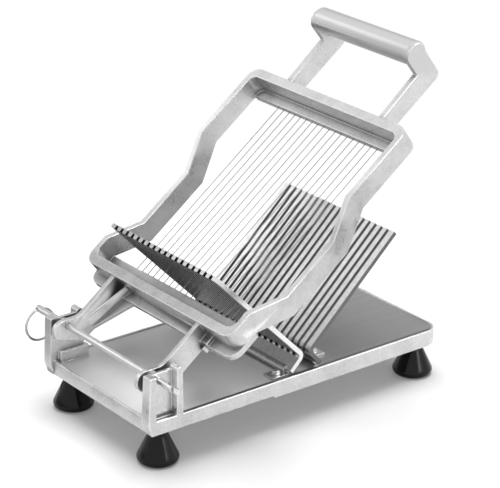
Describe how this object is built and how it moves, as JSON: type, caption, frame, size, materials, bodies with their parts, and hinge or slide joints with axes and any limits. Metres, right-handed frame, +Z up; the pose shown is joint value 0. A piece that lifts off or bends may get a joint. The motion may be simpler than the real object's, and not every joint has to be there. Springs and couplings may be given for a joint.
{
  "type": "wire cheese slicer",
  "caption": "Hand-lever wire slicer: a hinged frame strung with tight wires swings down through a slotted V-shaped bed on a flat cast base with flared rubber feet.",
  "frame": {"origin": "on the floor under the middle of the object's outline", "axes": "+X to the right across the base, +Y from the hinge end to the handle end, +Z up"},
  "size_m": [0.253, 0.3908, 0.379],
  "materials": {
    "cast_aluminium": "satin cast",
    "bed_aluminium": "brushed",
    "black_rubber": "semi-gloss",
    "plain_steel": "bright",
    "wire_steel": "drawn bright"
  },
  "bodies": {
    "base": {"base_casting": "cast_aluminium", "front_left_foot": "black_rubber", "front_right_foot": "black_rubber", "rear_left_foot": "black_rubber", "rear_right_foot": "black_rubber", "foot_studs": "plain_steel", "front_bed_plate": "bed_aluminium", "rear_bed_plate": "bed_aluminium", "bed_bolts": "plain_steel", "bed_washers": "plain_steel", "bed_nuts": "plain_steel"},
    "arm": {"cutting_frame": "cast_aluminium", "cutting_wires": "wire_steel", "wire_turns": "wire_steel", "tension_screws": "plain_steel", "tension_washers": "plain_steel"},
    "pin": {"hinge_pin": "plain_steel", "tab_rivet": "plain_steel"},
    "ring": {"pull_ring": "plain_steel"},
    "tab": {"locking_tab": "plain_steel"}
  },
  "joints": [
    {"name": "arm_hinge", "type": "hinge", "parent": "base", "child": "arm", "pos_m": [0, -0.17655, 0.0957], "axis": [1, 0, 0], "range_deg": [-35.8, 65]},
    {"name": "pin_draw", "type": "slide", "parent": "base", "child": "pin", "axis": [-1, 0, 0], "range_m": [0, 0.216]},
    {"name": "ring_swing", "type": "hinge", "parent": "pin", "child": "ring", "pos_m": [-0.1246, -0.17655, 0.0957], "axis": [0, 1, 0], "range_deg": [-45, 90]},
    {"name": "tab_turn", "type": "hinge", "parent": "pin", "child": "tab", "pos_m": [0.109, -0.17655, 0.0957], "axis": [0, 1, 0], "range_deg": [0, 90]}
  ]
}
